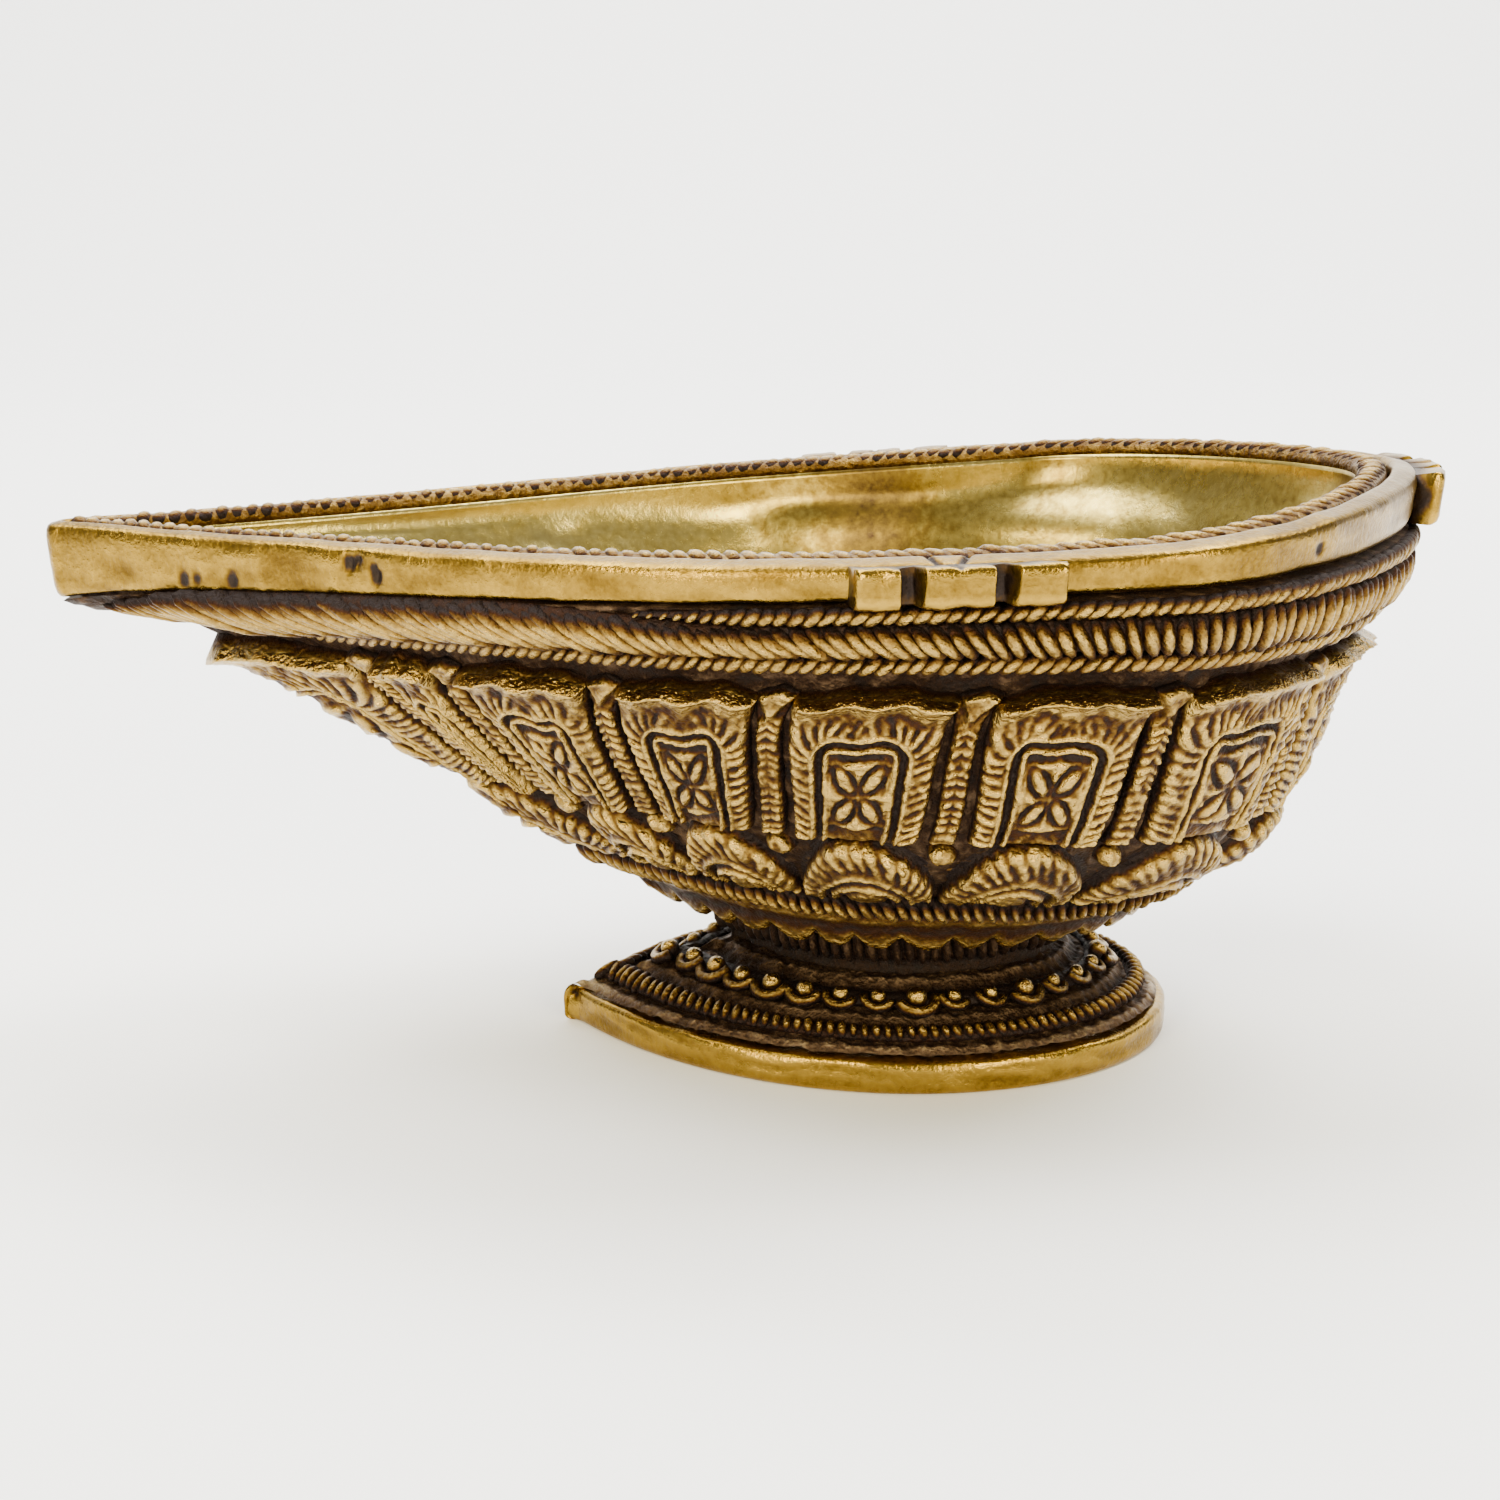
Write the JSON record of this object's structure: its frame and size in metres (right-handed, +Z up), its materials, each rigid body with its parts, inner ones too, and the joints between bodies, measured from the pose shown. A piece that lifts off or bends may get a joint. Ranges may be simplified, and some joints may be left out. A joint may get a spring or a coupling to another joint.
{
  "type": "diya oil lamp",
  "caption": "Leaf-shaped footed diya oil lamp in aged cast brass, with a pointed spout, a polished rim band, rope rings, lotus petals round the bowl and a flared hollow foot.",
  "frame": {"origin": "on the floor, under the middle of the lamp's box", "axes": "+X towards the round rear, with the spout's tip at -X; +Y across the lamp, which is symmetric about the XZ plane; +Z up"},
  "size_m": [0.1478, 0.0934, 0.0631],
  "materials": {
    "smooth_brass": "satin",
    "polished_brass": "polished",
    "chased_brass": "satin",
    "dark_brass": "matte"
  },
  "bodies": {
    "root": {"base_rope": "chased_brass", "foot_band": "polished_brass", "foot_bead_row": "dark_brass", "foot_cover": "dark_brass", "foot_rope": "dark_brass", "lower_rope": "chased_brass", "lug_left": "polished_brass", "lug_rear": "polished_brass", "lug_right": "polished_brass", "main_rope": "chased_brass", "mound_02": "chased_brass", "mound_03": "chased_brass", "mound_04": "chased_brass", "mound_05": "chased_brass", "mound_06": "chased_brass", "mound_07": "chased_brass", "mound_08": "chased_brass", "mound_09": "chased_brass", "mound_10": "chased_brass", "mound_11": "chased_brass", "mound_12": "chased_brass", "mound_13": "chased_brass", "mound_keel": "chased_brass", "neck_rope": "dark_brass", "neck_stem": "dark_brass", "oil_bowl": "smooth_brass", "petal_01": "chased_brass", "petal_02": "chased_brass", "petal_03": "chased_brass", "petal_04": "chased_brass", "petal_05": "chased_brass", "petal_06": "chased_brass", "petal_07": "chased_brass", "petal_08": "chased_brass", "petal_09": "chased_brass", "petal_10": "chased_brass", "petal_11": "chased_brass", "petal_12": "chased_brass", "petal_13": "chased_brass", "petal_14": "chased_brass", "petal_keel": "chased_brass", "rib_01": "chased_brass", "rib_02": "chased_brass", "rib_03": "chased_brass", "rib_04": "chased_brass", "rib_05": "chased_brass", "rib_06": "chased_brass", "rib_07": "chased_brass", "rib_08": "chased_brass", "rib_09": "chased_brass", "rib_10": "chased_brass", "rib_11": "chased_brass", "rib_12": "chased_brass", "rib_13": "chased_brass", "rib_14": "chased_brass", "rib_15": "chased_brass", "rim_band": "polished_brass", "rim_top_rope": "chased_brass", "scalloped_edge": "chased_brass", "upper_rope": "chased_brass"}
  },
  "joints": []
}
